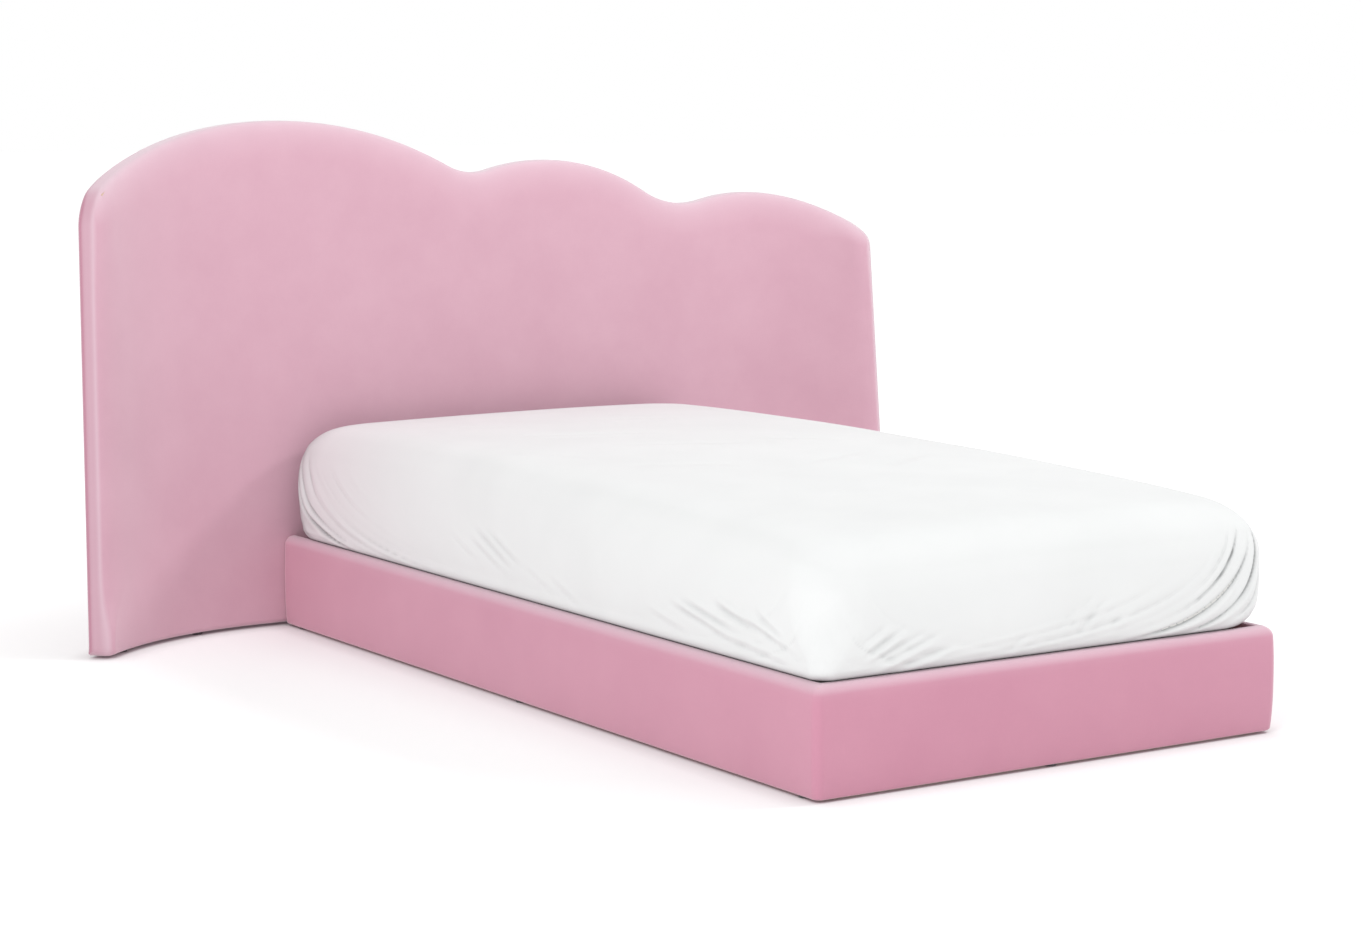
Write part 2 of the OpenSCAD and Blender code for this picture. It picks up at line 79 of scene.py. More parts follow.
# The UV layer that holds each point's place on the flat cloth, in metres
CLOTH = "cloth"


# ---------- Mesh helpers ----------

def new_object(name, points, faces, cloth=None):
    """A smooth mesh object; cloth is each point's place on the flat cloth, in metres."""
    mesh = bpy.data.meshes.new(name)
    mesh.from_pydata([tuple(p) for p in points], [], [tuple(f) for f in faces])
    mesh.polygons.foreach_set("use_smooth", [True] * len(mesh.polygons))
    if cloth is not None:
        layer = mesh.uv_layers.new(name=CLOTH)
        corner_points = np.zeros(len(mesh.loops), int)
        mesh.loops.foreach_get("vertex_index", corner_points)
        layer.data.foreach_set("uv", np.asarray(cloth)[corner_points].astype(np.float32).ravel())
    mesh.update()
    obj = bpy.data.objects.new(name, mesh)
    bpy.context.scene.collection.objects.link(obj)
    return obj


def strip_faces(first, second):
    """Quads between two closed rings of point numbers."""
    following = np.roll(first, -1), np.roll(second, -1)
    return np.stack([first, following[0], following[1], second], 1)


def patch(ring, across, up):
    """Fills a closed ring of 2 * (across + up) points with a grid: rows of points, borders included."""
    low = ring[:across + 1]
    right = ring[across:across + up + 1]
    high = ring[across + up:2 * across + up + 1][::-1]
    left = np.vstack([ring[2 * across + up:], ring[:1]])[::-1]
    u = np.linspace(0, 1, across + 1)[None, :, None]
    v = np.linspace(0, 1, up + 1)[:, None, None]
    rows = (1 - v) * low[None] + v * high[None] + (1 - u) * left[:, None] + u * right[:, None]
    corners = (1 - u) * ((1 - v) * low[0] + v * high[0]) + u * ((1 - v) * low[-1] + v * high[-1])
    return rows - corners


def patch_numbers(ring_numbers, across, up, first_new):
    """Point numbers of that grid, whose border is the ring's own points."""
    numbers = np.zeros((up + 1, across + 1), int)
    numbers[1:-1, 1:-1] = first_new + np.arange((up - 1) * (across - 1)).reshape(up - 1, -1)
    numbers[0, :] = ring_numbers[:across + 1]
    numbers[:, -1] = ring_numbers[across:across + up + 1]
    numbers[-1, :] = ring_numbers[across + up:2 * across + up + 1][::-1]
    numbers[:, 0] = np.append(ring_numbers[2 * across + up:], ring_numbers[0])[::-1]
    return numbers


def grid_faces(numbers):
    return np.stack([numbers[:-1, :-1], numbers[:-1, 1:], numbers[1:, 1:], numbers[1:, :-1]],
                    -1).reshape(-1, 4)


def lengths_along(points):
    """The distance from the first point to each point, along the line through them."""
    return np.append(0, np.cumsum(np.linalg.norm(np.diff(points, axis=0), axis=1)))


def smoothstep(x, low=0.0, high=1.0):
    t = np.clip((x - low) / (high - low), 0, 1)
    return t * t * (3 - 2 * t)


def ripple(a, b, seed, size):
    """A soft, repeatable unevenness between -1 and 1 over a surface, for places in metres."""
    waves = 6
    rng = np.random.default_rng(seed)
    total = 0
    for _ in range(waves):
        angle, phase = rng.uniform(0, 2 * math.pi, 2)
        length = size * rng.uniform(0.7, 1.6)
        travel = a * math.cos(angle) + b * math.sin(angle)
        total = total + np.sin(travel * 2 * math.pi / length + phase)
    return total / waves


# ---------- Headboard outline, [s, z]: s runs along the middle of its thickness ----------

ARC_STEP = 0.001


def arc(centre, r, start, end):
    count = max(3, int(abs(end - start) * r / ARC_STEP))
    angles = np.linspace(start, end, count)
    return np.array(centre) + r * np.stack([np.cos(angles), np.sin(angles)], 1)


def angle_to(a, b):
    return math.atan2(b[1] - a[1], b[0] - a[0])


def dip_centre(a, ra, b, rb, r):
    """Centre of the round dip of radius r that rests from above on lobes of radii ra and rb."""
    a, b = np.array(a), np.array(b)
    gap = np.linalg.norm(b - a)
    u = (b - a) / gap
    along = ((ra + r) ** 2 - (rb + r) ** 2 + gap ** 2) / (2 * gap)
    return a + along * u + math.sqrt((ra + r) ** 2 - along ** 2) * np.array([-u[1], u[0]])


def corner_centre(c, rc, normal, d, r):
    """Centre of the round corner of radius r inside a lobe and the side line normal . p = d."""
    c, normal = np.array(c), np.array(normal)
    up = np.array([abs(normal[1]) * -np.sign(normal[0]), abs(normal[0])])
    k = d - r - normal @ c
    return c + k * normal + math.sqrt((rc - r) ** 2 - k ** 2) * up


def unroll(points, corners):
    """Turns x into the distance along the curved middle of the headboard, and at the two top corners
    into the distance along the rounded tip."""
    x = np.abs(points[:, 0])
    beyond = np.clip(x - FLAT_HALF, 0, None) / MID_R
    along = np.where(x > FLAT_HALF, FLAT_HALF + MID_R * np.arcsin(beyond), x)
    tip = FLAT_HALF + TIP_R + MID_R * np.arcsin(np.clip(x - FLAT_HALF - TIP_R, 0, None) / MID_R)
    weight = np.zeros(len(x))
    for side, (centre, r) in zip((-1, 1), corners):
        near = smoothstep((x - abs(centre[0])) / r)
        weight = np.where(np.sign(points[:, 0]) == side, near, weight)
    s = np.sign(points[:, 0]) * ((1 - weight) * along + weight * tip)
    return np.stack([s, points[:, 1]], 1)


def head_outline(across, up):
    """2 * (across + up) points round the headboard, anticlockwise from the lower left corner,
    and the outward normal at each."""
    side_x = HEAD_HIGH.x
    bottom = HEAD_LOW.z
    centres = [(x, top - r) for x, top, r in LOBES]
    radii = [r for _, _, r in LOBES]
    dips = [dip_centre(centres[i], radii[i], centres[i + 1], radii[i + 1], DIP_RADII[i])
            for i in range(2)]
    lean = (math.cos(RIGHT_LEAN), math.sin(RIGHT_LEAN))
    left = corner_centre(centres[0], radii[0], (-1, 0), side_x, TOP_CORNER_RADII[0])
    right = corner_centre(centres[2], radii[2], lean, side_x * lean[0], TOP_CORNER_RADII[1])
    r = BOTTOM_CORNER_R
    low_left = (r - side_x, bottom + r)
    low_right = (side_x - r - (bottom + r) * math.tan(RIGHT_LEAN), bottom + r)
    half = math.pi / 2

    bottom_side = [
        arc(low_left, r, -1.5 * half, -half),
        arc(low_right, r, -half, -0.5 * half),
    ]
    right_side = [
        arc(low_right, r, -0.5 * half, RIGHT_LEAN),
        arc(right, TOP_CORNER_RADII[1], RIGHT_LEAN, 0.5 * half),
    ]
    top = [
        arc(right, TOP_CORNER_RADII[1], 0.5 * half, angle_to(centres[2], right)),
        arc(centres[2], radii[2], angle_to(centres[2], right), angle_to(centres[2], dips[1])),
        arc(dips[1], DIP_RADII[1], angle_to(dips[1], centres[2]), angle_to(dips[1], centres[1])),
        arc(centres[1], radii[1], angle_to(centres[1], dips[1]), angle_to(centres[1], dips[0])),
        arc(dips[0], DIP_RADII[0], angle_to(dips[0], centres[1]), angle_to(dips[0], centres[0])),
        arc(centres[0], radii[0], angle_to(centres[0], dips[0]), angle_to(centres[0], left)),
        arc(left, TOP_CORNER_RADII[0], angle_to(centres[0], left), 1.5 * half),
    ]
    left_side = [
        arc(left, TOP_CORNER_RADII[0], 1.5 * half, 2 * half),
        arc(low_left, r, 2 * half, 2.5 * half),
    ]
    corners = [(left, TOP_CORNER_RADII[0]), (right, TOP_CORNER_RADII[1])]
    points = []
    sides = ((bottom_side, across), (right_side, up), (top, across), (left_side, up))
    for parts, count in sides:
        line = unroll(np.vstack(parts), corners)
        run = lengths_along(line)
        places = np.linspace(0, run[-1], count + 1)[:-1]
        points.append(np.stack([np.interp(places, run, line[:, i]) for i in (0, 1)], 1))
    points = np.vstack(points)
    along = np.roll(points, -1, 0) - np.roll(points, 1, 0)
    along /= np.linalg.norm(along, axis=1)[:, None]
    return points, np.stack([along[:, 1], -along[:, 0]], 1)


def bend(points, depth):
    """Places [s, z] points on the bent headboard, depth behind its front face."""
    s, z = points[..., 0], points[..., 1]
    beyond = np.clip(np.abs(s) - FLAT_HALF, 0, None) / MID_R
    r = WING_R + depth
    x = np.sign(s) * (np.minimum(np.abs(s), FLAT_HALF) + r * np.sin(beyond))
    return np.stack([x, FRONT_Y - WING_R + r * np.cos(beyond), z], -1)


# ---------- Headboard pieces ----------

# Points along the top or bottom of the outline, and up each side of it
HEAD_ACROSS, HEAD_UP = 250, 96
# How far in the front rolls over towards its edge, in general and along the bottom
EDGE_REACH, LOW_REACH = 0.105, 0.014
# The roll's section is a superellipse of this power
EDGE_POWER = 2.3
# Rounding of the edge's back: along the top, the upright sides and the bottom
EDGE_BACK_R, TIP_BACK_R, BOTTOM_BACK_R = 0.010, 0.015, 0.002
# The cover is turned in by RETURN_W at the back, just below the back's surface
RETURN_W = 0.026
RETURN_GAP = 0.0004
PAD_INSET = 0.0015


def edge_reach(points, normals):
    """How far in from the outline the front starts to roll over: less at tight corners and below."""
    neighbours = 9
    step = np.linalg.norm(np.roll(points, -1, 0) - points, axis=1)
    turned = np.roll(normals, -1, 0)
    turn = normals[:, 0] * turned[:, 1] - normals[:, 1] * turned[:, 0]
    radius = step / np.maximum(turn, 1e-4)
    tightest = np.min([np.roll(radius, i) for i in range(-neighbours, neighbours + 1)], axis=0)
    above = smoothstep(points[:, 1], 0.02, 0.16)
    reach = np.minimum(LOW_REACH + (EDGE_REACH - LOW_REACH) * above, 0.85 * tightest)
    window = np.hanning(2 * neighbours + 1)
    padded = np.concatenate([reach[-neighbours:], reach, reach[:neighbours]])
    return np.convolve(padded, window / window.sum(), "valid")


def back_radius(normals):
    """How round the back of the edge is: most along the two upright sides, least along the bottom,
    where the panels come down close to the cloth."""
    upright = smoothstep(np.abs(normals[:, 0]), 0.55, 0.97)
    bottom = smoothstep(-normals[:, 1], 0.25, 0.90)
    top = EDGE_BACK_R + (TIP_BACK_R - EDGE_BACK_R) * upright
    return top + (BOTTOM_BACK_R - top) * bottom


def head_section(reach, back_r, inset):
    """Steps of the edge from the turned-in back to the front: distance in from the outline and depth,
    each as one value for every point of the outline."""
    even = np.ones_like(reach)
    fold = EDGE_BACK_R + RETURN_W
    rows = [(back_r + (fold - back_r) * (1 - t), (HEAD_THICK - RETURN_GAP - inset) * even)
            for t in (0.0, 0.5, 0.9)]
    for a in np.linspace(0, math.pi / 2, 8):
        rows.append((back_r * (1 - math.sin(a)) + inset * math.sin(a),
                     HEAD_THICK - back_r * (1 - math.cos(a)) - inset * math.cos(a)))
    straight = HEAD_THICK - back_r - TIP_R
    for t in (0.25, 0.5, 0.75):
        rows.append((inset * even, TIP_R + (1 - t) * straight))
    for a in np.linspace(0, math.pi / 2, 19):
        across, down = math.cos(a) ** (2 / EDGE_POWER), math.sin(a) ** (2 / EDGE_POWER)
        rows.append((reach * (1 - across) + inset * math.cos(a),
                     (TIP_R * (1 - down) + inset * math.sin(a)) * even))
    return rows


def fade_in(count, share):
    """0 at both ends of a row of count steps, and 1 once share of the row is passed."""
    t = np.linspace(0, 1, count + 1)
    return np.minimum(smoothstep(t, 0, share), smoothstep(t[::-1], 0, share))


def headboard_shell(name, inset):
    """The velvet, or with an inset the pad: from the turned-in back, round the edge, over the front."""
    outline, normals = head_outline(HEAD_ACROSS, HEAD_UP)
    count = len(outline)
    section = head_section(edge_reach(outline, normals), back_radius(normals), inset)
    points = [bend(outline - normals * d[:, None], depth) for d, depth in section]
    numbers = np.arange(count * len(points)).reshape(-1, count)
    faces = [strip_faces(first, second) for first, second in zip(numbers[:-1], numbers[1:])]

    # On the flat cloth, each ring lies outside the last one by the distance travelled between them
    travelled = [np.zeros(count)]
    for (d, depth), (next_d, next_depth) in zip(section[:-1], section[1:]):
        travelled.append(travelled[-1] + np.hypot(next_d - d, next_depth - depth))
    last_d = section[-1][0]
    cloth = [outline - normals * (last_d - (travelled[-1] - t))[:, None] for t in travelled]

    grid = patch(outline - normals * last_d[:, None], HEAD_ACROSS, HEAD_UP)
    wave = 0.0006 * ripple(grid[..., 0], grid[..., 1], 3, 0.35)
    calm = fade_in(HEAD_ACROSS, 0.08)[None, :] * fade_in(HEAD_UP, 0.12)[:, None]
    surface = bend(grid, inset + wave * calm)
    faces.append(grid_faces(patch_numbers(numbers[-1], HEAD_ACROSS, HEAD_UP, numbers.size)))
    points = np.vstack(points + [surface[1:-1, 1:-1].reshape(-1, 3)])
    cloth = np.vstack(cloth + [grid[1:-1, 1:-1].reshape(-1, 2)])
    return new_object(name, points, np.vstack(faces), cloth)


# The lining's folded edge: distance in from the outline and how proud of the back, from the part
# that is turned under to the part that lies on top
LINING_FOLD = [(0.026, 0.0002), (0.0175, 0.0003), (0.0160, 0.0007), (0.0175, 0.0012),
               (0.022, 0.0013), (0.030, 0.0011), (0.040, 0.0009)]
PUCKERED_STEPS = range(2, 6)
PUCKER_DEPTH = 0.0004
PUCKER_POINTS = 5.0


def back_lining():
    """The cloth that closes the back, folded under along its edge."""
    outline, normals = head_outline(HEAD_ACROSS, HEAD_UP)
    count = len(outline)
    pucker = PUCKER_DEPTH * np.sin(np.arange(count) * 2 * math.pi / PUCKER_POINTS)
    points, cloth = [], []
    for i, (inset, proud) in enumerate(LINING_FOLD):
        flat = outline - normals * inset
        height = proud + (pucker if i in PUCKERED_STEPS else np.zeros(count))
        points.append(bend(flat, HEAD_THICK + height))
        cloth.append(flat)
    numbers = np.arange(count * len(points)).reshape(-1, count)
    faces = [strip_faces(second, first) for first, second in zip(numbers[:-1], numbers[1:])]
    grid = patch(cloth[-1], HEAD_ACROSS, HEAD_UP)
    sag = 0.0008 + 0.0006 * ripple(grid[..., 0], grid[..., 1], 8, 0.5)
    surface = bend(grid, HEAD_THICK + sag)
    middle = patch_numbers(numbers[-1], HEAD_ACROSS, HEAD_UP, numbers.size)
    faces.append(grid_faces(middle)[:, ::-1])
    points = np.vstack(points + [surface[1:-1, 1:-1].reshape(-1, 3)])
    cloth = np.vstack(cloth + [grid[1:-1, 1:-1].reshape(-1, 2)])
    return new_object("headboard_back_lining", points, np.vstack(faces), cloth)


# ---------- Rail upholstery ----------

PILLOW = 0.004
RAIL_EDGE_R = 0.019
RAIL_INNER_R = 0.005
RAIL_LOW_R = 0.006
# How far the cover comes down inside the well, and how far in it is turned under the rail
RETURN_DOWN = 0.032
TURNED_UNDER = (0.010, 0.014, 0.018)
# The rails' ends stop just short of the headboard and are drawn in there
END_GAP = 0.0004
PINCH_LENGTH, PINCH_DEPTH = 0.012, 0.0075
RAIL_WAVE = 0.0005


def rail_profile(inset):
    """[out, z] down from the turned-in inner face, over the top and under the rail."""
    low, high = RAIL_BOTTOM, RAIL_TOP
    mid = (low + high) / 2
    half = math.pi / 2
    line = [(0, z) for z in np.linspace(high - RETURN_DOWN, high - RAIL_INNER_R, 5)[:-1]]
    line += [(RAIL_INNER_R * (1 + math.cos(a)), high - RAIL_INNER_R * (1 - math.sin(a)))
             for a in np.linspace(2 * half, half, 5)]
    line.append(((RAIL_INNER_R + RAIL_T - RAIL_EDGE_R) / 2, high + 0.0004))
    line += [(RAIL_T - RAIL_EDGE_R * (1 - math.cos(a)), high - RAIL_EDGE_R * (1 - math.sin(a)))
             for a in np.linspace(half, 0, 10)]
    line += [(RAIL_T, z) for z in np.linspace(high - RAIL_EDGE_R, low + RAIL_LOW_R, 18)[1:-1]]
    line += [(RAIL_T - RAIL_LOW_R * (1 - math.cos(a)), low + RAIL_LOW_R * (1 + math.sin(a)))
             for a in np.linspace(0, -half, 6)]
    line += [(RAIL_T - x, low) for x in TURNED_UNDER]
    line = np.array(line)
    share = np.clip((line[:, 1] - mid) / (high - mid), -1, 1)
    outer = smoothstep(line[:, 0], RAIL_T * 0.55, RAIL_T)
    line[:, 0] += PILLOW * (1 - np.abs(share) ** 2.6) * outer
    along = np.gradient(line, axis=0)
    along /= np.linalg.norm(along, axis=1)[:, None]
    normal = np.stack([-along[:, 1], along[:, 0]], 1)
    return line - inset * normal


def rail_shell(name, inset):
    """The base's cover: the rail profile run down the left side, round the foot and back up."""
    profile = rail_profile(inset)
    out, z = profile[:, 0], profile[:, 1]
    outer = smoothstep(out, 0.02, RAIL_T)
    corner_r = 0.003 + (FOOT_CORNER_R - 0.003) * np.clip(out / RAIL_T, 0, 1.2)
    head_gap = np.array([0, 0.0003, 0.001, 0.002, 0.0035, 0.0055, 0.008, 0.0115, 0.015])
    side_y = np.concatenate([FRONT_Y - END_GAP - head_gap,
                             np.linspace(FRONT_Y - 0.02, WELL_FOOT_Y + 0.004, 150)])
    foot_x = np.linspace(0.004 - WELL_HALF, WELL_HALF - 0.004, 80)
    angles = np.linspace(0, math.pi / 2, 14)

    def side(direction, y):
        near = np.clip(1 - (FRONT_Y - y) / PINCH_LENGTH, 0, 1)
        pinch = PINCH_DEPTH * (1 - np.sqrt(1 - near ** 2))
        pull = pinch * smoothstep(out, RAIL_T * 0.5, RAIL_T)
        drop = 0.55 * pinch * smoothstep(z, RAIL_TOP - 0.02, RAIL_TOP)
        wave = RAIL_WAVE * ripple(np.full_like(z, y), z, 5, 0.3) * outer
        x = direction * (WELL_HALF + out - pull + wave)
        return np.stack([x, np.full_like(z, y), z - drop], 1)

    def corner(direction, a):
        x = direction * (WELL_HALF + out - corner_r + corner_r * math.cos(a))
        y = WELL_FOOT_Y - out + corner_r - corner_r * math.sin(a)
        return np.stack([x, y, z], 1)

    def foot(x):
        wave = RAIL_WAVE * ripple(np.full_like(z, x), z, 6, 0.3) * outer
        return np.stack([np.full_like(z, x), WELL_FOOT_Y - out - wave, z], 1)

    stations = [side(-1, y) for y in side_y]
    stations += [corner(-1, a) for a in angles]
    stations += [foot(x) for x in foot_x]
    stations += [corner(1, a) for a in angles[::-1]]
    stations += [side(1, y) for y in side_y[::-1]]
    rows = np.array(stations)
    run = lengths_along(rows[:, len(profile) // 2])
    down = lengths_along(profile)
    cloth = np.stack(np.broadcast_arrays(run[:, None], -down[None, :]), -1)
    numbers = np.arange(rows.shape[0] * rows.shape[1]).reshape(rows.shape[:2])
    return new_object(name, rows.reshape(-1, 3), grid_faces(numbers), cloth.reshape(-1, 2))


# ---------- Mattress ----------

SHEET_SPACING = 0.004
PAD_SPACING = 0.012
# Points along the straight part of the foot and of the long side, and round each corner
FOOT_POINTS, SIDE_POINTS = 168, 300
CORNER_POINTS = 36
# How far the side swells at its fullest, and how far the hem is turned under
SIDE_SWELL = 0.024
HEM_INSET = 0.120
NOMINAL_TOP = SHEET_HIGH.z - 0.0005
# The corners in order: left foot, right foot, right head, left head
CORNER_SIGNS = [(-1, -1), (1, -1), (1, 1), (-1, 1)]
FOOT_LEFT = 0
# Plan radii of a corner in the well, above the rail and at the top, and the height over which it
# changes. The elastic draws the corners in, except the left foot corner, which fills the well.
FULL_CORNER = (0.028, 0.105, 0.100, 0.13)
DRAWN_CORNER = (0.106, 0.068, 0.072, 0.05)
# Above the rails, the mattress lies a little off the middle of the well
SHIFT_X, SHIFT_Y = 0.002, -0.005
# Height of the top at its rim, how much it crowns along and across, and how far its corners sink
RIM_Z = 0.440
CROWN_ALONG, CROWN_ACROSS = 0.030, 0.004
CORNER_SINK = 0.002


def corner_radius(corner, z):
    """Plan radius of a mattress corner at height z."""
    low, mid, top, high = FULL_CORNER if corner == FOOT_LEFT else DRAWN_CORNER
    up = smoothstep(z, RAIL_TOP - 0.01, RAIL_TOP + high)
    crown = smoothstep(z, 0.36, NOMINAL_TOP)
    return low + (mid - low) * up + (top - mid) * crown


def spaced(count):
    """Places from 0 to 1, closer together near both ends."""
    crowding = 0.75
    t = np.linspace(0, 1, count + 1)[:-1]
    return t - crowding * np.sin(2 * math.pi * t) / (2 * math.pi)


def mattress_ring(out, z, foot_points, side_points):
    """A rounded rectangle grown by out: [x, y] points, anticlockwise from the left foot corner."""
    half_w, half_l = MATTRESS_HALF_W + out, MATTRESS_HALF_L + out
    quarter = math.pi / 2
    radii = [corner_radius(i, z) for i in range(4)]
    centres = [np.array([x * (half_w - r), y * (half_l - r)]) for (x, y), r in zip(CORNER_SIGNS, radii)]
    half = CORNER_POINTS // 2

    def on_corner(i, a):
        return centres[i] + radii[i] * np.array([math.cos(a), math.sin(a)])

    points = []
    for i, straight in enumerate((foot_points, side_points, foot_points, side_points)):
        turn = quarter * (i - 1)
        following = (i + 1) % 4
        start, end = on_corner(i, turn), on_corner(following, turn)
        points += [on_corner(i, a) for a in np.linspace(turn - quarter / 2, turn, half, endpoint=False)]
        points += [start + t * (end - start) for t in spaced(straight)]
        points += [on_corner(following, a)
                   for a in np.linspace(turn, turn + quarter / 2, half, endpoint=False)]
    above = smoothstep(z, RAIL_TOP - 0.005, RAIL_TOP + 0.04)
    return np.array(points) + np.array([SHIFT_X * above, MATTRESS_Y + SHIFT_Y * above])


def catmull(run, values, places):
    """A smooth curve through values at run, read at places."""
    slopes = np.gradient(values, run)
    i = np.clip(np.searchsorted(run, places, "right") - 1, 0, len(run) - 2)
    width = run[i + 1] - run[i]
    t = (places - run[i]) / width
    return ((2 * t ** 3 - 3 * t ** 2 + 1) * values[i] + (t ** 3 - 2 * t ** 2 + t) * width * slopes[i]
            + (-2 * t ** 3 + 3 * t ** 2) * values[i + 1] + (t ** 3 - t ** 2) * width * slopes[i + 1])


def side_profile(inset, spacing):
    """[out, z] from the hem under the mattress, up its side and on to its top."""
    low = SHEET_LOW.z + inset
    rail = RAIL_TOP
    high = NOMINAL_TOP - inset
    control = [(-HEM_INSET, low), (-0.06, low), (-0.025, low + 0.0005), (-0.010, low + 0.004),
               (-0.002, low + 0.012), (0.0005, rail - 0.008), (0.003, rail - 0.001),
               (0.008, rail + 0.0015), (0.0135, rail + 0.0032), (0.0178, rail + 0.0095),
               (0.0205, rail + 0.034), (0.0235, rail + 0.076), (SIDE_SWELL, rail + 0.112),
               (0.0230, rail + 0.142), (0.0205, rail + 0.170), (0.0155, rail + 0.192),
               (0.0075, high - 0.044),
               (-0.004, high - 0.0285), (-0.019, high - 0.0155), (-0.038, high - 0.0065),
               (-0.062, high - 0.0015), (-0.092, high)]
    line = np.array(control)
    line[:, 0] -= inset * smoothstep(line[:, 1], low, low + 0.02)
    run = lengths_along(line)
    places = np.linspace(0, run[-1], int(run[-1] / spacing))
    return np.stack([catmull(run, line[:, i], places) for i in (0, 1)], 1)


def plump(points):
    """Gives the level top its height: it stands high in the middle and sinks at its corners."""
    x, y, z = points[..., 0], points[..., 1], points[..., 2]
    top = RIM_Z + CROWN_ALONG * (1 - ((y - 0.15) / 1.25) ** 2) + CROWN_ACROSS * (1 - (x / 0.5) ** 2)
    corner = np.hypot(MATTRESS_HALF_W - np.abs(x), MATTRESS_HALF_L - np.abs(y - MATTRESS_Y))
    top = top - CORNER_SINK * np.exp(-(corner / 0.20) ** 2)
    top = top + 0.0015 * ripple(x, y, 12, 0.55)
    share = smoothstep(z, 0.25, NOMINAL_TOP - 0.01)
    return np.stack([x, y, z + (top - NOMINAL_TOP) * share], -1)


def mattress_shell(name, inset, spacing, closed=False, low=None, high=None):
    """A shell of the mattress's shape. With low and high it is a closed block between those heights."""
    coarse = round(spacing / SHEET_SPACING)
    foot_points, side_points = FOOT_POINTS // coarse, SIDE_POINTS // coarse
    across, up = foot_points + CORNER_POINTS, side_points + CORNER_POINTS
    profile = side_profile(inset, spacing)
    if low is not None:
        profile = profile[(profile[:, 1] > low - 1e-6) & (profile[:, 1] < high + 1e-6)]
        profile = profile[profile[:, 0] > -0.10]
    rings = [mattress_ring(out, z, foot_points, side_points) for out, z in profile]
    points = [np.column_stack([ring, np.full(len(ring), z)]) for ring, z in zip(rings, profile[:, 1])]
    numbers = np.arange(len(rings) * len(rings[0])).reshape(len(rings), -1)
    faces = [strip_faces(first, second) for first, second in zip(numbers[:-1], numbers[1:])]

    # On the flat cloth, the side lies outside the top by its own length
    down = lengths_along(profile)
    centre = np.array([0, MATTRESS_Y])
    direction = rings[-1] - centre
    reach = np.linalg.norm(direction, axis=1)[:, None]
    cloth = [centre + direction * (1 + (down[-1] - d) / reach) for d in down]

    def add_flat(ring, ring_numbers, z, facing_down):
        grid = patch(ring, across, up)
        level = np.dstack([grid, np.full(grid.shape[:2], z)])
        grid_numbers = patch_numbers(ring_numbers, across, up, sum(len(p) for p in points))
        faces.append(grid_faces(grid_numbers)[:, ::-1 if facing_down else 1])
        points.append(level[1:-1, 1:-1].reshape(-1, 3))
        cloth.append(grid[1:-1, 1:-1].reshape(-1, 2))

    add_flat(rings[-1], numbers[-1], profile[-1, 1], facing_down=False)
    if closed:
        add_flat(rings[0], numbers[0], profile[0, 1], facing_down=True)
    return new_object(name, plump(np.vstack(points)), np.vstack(faces), np.vstack(cloth))


# ---------- Folds of the fitted sheet ----------

FOLD_REACH = 0.30
FOLD_PITCH = 0.0235
FOLD_SIZE = 0.0155
FAR_FOLD_SIZE = 0.0060
# How strong the folds are at the left foot, right foot, right head and left head corner
FOLD_STRENGTHS = (0.10, 1.0, 1.0, 1.0)


def along_side(points):
    """For each corner: how far a point is from it along the sides, or far off if it isn't near it."""
    far_off = 9.0
    x, y = points[:, 0], points[:, 1] - MATTRESS_Y
    result = []
    for sx, sy in CORNER_SIGNS:
        to_end = MATTRESS_HALF_L + SIDE_SWELL - sy * y
        to_side = MATTRESS_HALF_W + SIDE_SWELL - sx * x
        near = (to_end < FOLD_REACH) | (to_side < FOLD_REACH)
        result.append(np.where(near, np.maximum(to_end, to_side), far_off))
    return result


def drawn_folds(points, normals):
    """Folds that sweep down each corner and turn along the rail, where the elastic draws the sheet in.

    Each fold follows one value of q, so it is a hyperbola between the corner and the rail."""
    upright = 1 - smoothstep(np.abs(normals[:, 2]), 0.55, 0.85)
    h = points[:, 2] - RAIL_TOP
    above_low = h + 0.03
    low_fade = smoothstep(h, 0.002, 0.022) * (1 - smoothstep(h, 0.13, 0.215))
    total = np.zeros(len(points))
    for corner, a in enumerate(along_side(points)):
        q = np.sqrt(np.clip(a, 0, None) * np.clip(above_low, 0, None))
        steep = np.arctan2(above_low, np.clip(a, 0.001, None))
        wander = 0.75 * ripple(q * 3, 0.16 * steep, 30 + corner, 0.26)
        phase = q / FOLD_PITCH + wander + 0.37 * corner
        fold = np.abs(np.sin(math.pi * phase)) ** 0.6 - 0.70
        uneven = np.clip(0.50 + 1.3 * ripple(q * 5, 0.10 * steep, 40 + corner, 0.17), 0.05, 1.15)
        near_size = FOLD_SIZE * np.exp(-((q - 0.095) / 0.055) ** 2) * uneven
        scattered = np.clip(ripple(q * 6, h, 50 + corner, 0.20), 0, 1)
        far_size = FAR_FOLD_SIZE * np.exp(-((q - 0.21) / 0.05) ** 2) * scattered
        fade = low_fade * smoothstep(a, 0.0, 0.03)
        total += FOLD_STRENGTHS[corner] * (near_size + far_size) * fold * fade
    return total * upright


def crease(points, start, end, width, depth):
    """One pinched line in the cloth from start to end: a groove with a soft ridge beside it."""
    ridge_side = (0.55, 0.83, 0.1)
    start, end = np.array(start), np.array(end)
    line = end - start
    length = np.linalg.norm(line)
    along = ((points - start) @ line) / length ** 2
    off = points - start - np.clip(along, 0, 1)[:, None] * line
    side = np.sign(off @ np.cross(line, ridge_side))
    u = np.linalg.norm(off, axis=1) * side
    ends = smoothstep(along, -0.05, 0.35) * (1 - smoothstep(along, 0.65, 1.05))
    groove = -np.exp(-(u / width) ** 2) + 0.65 * np.exp(-((u - 1.9 * width) / (1.1 * width)) ** 2)
    return depth * groove * ends


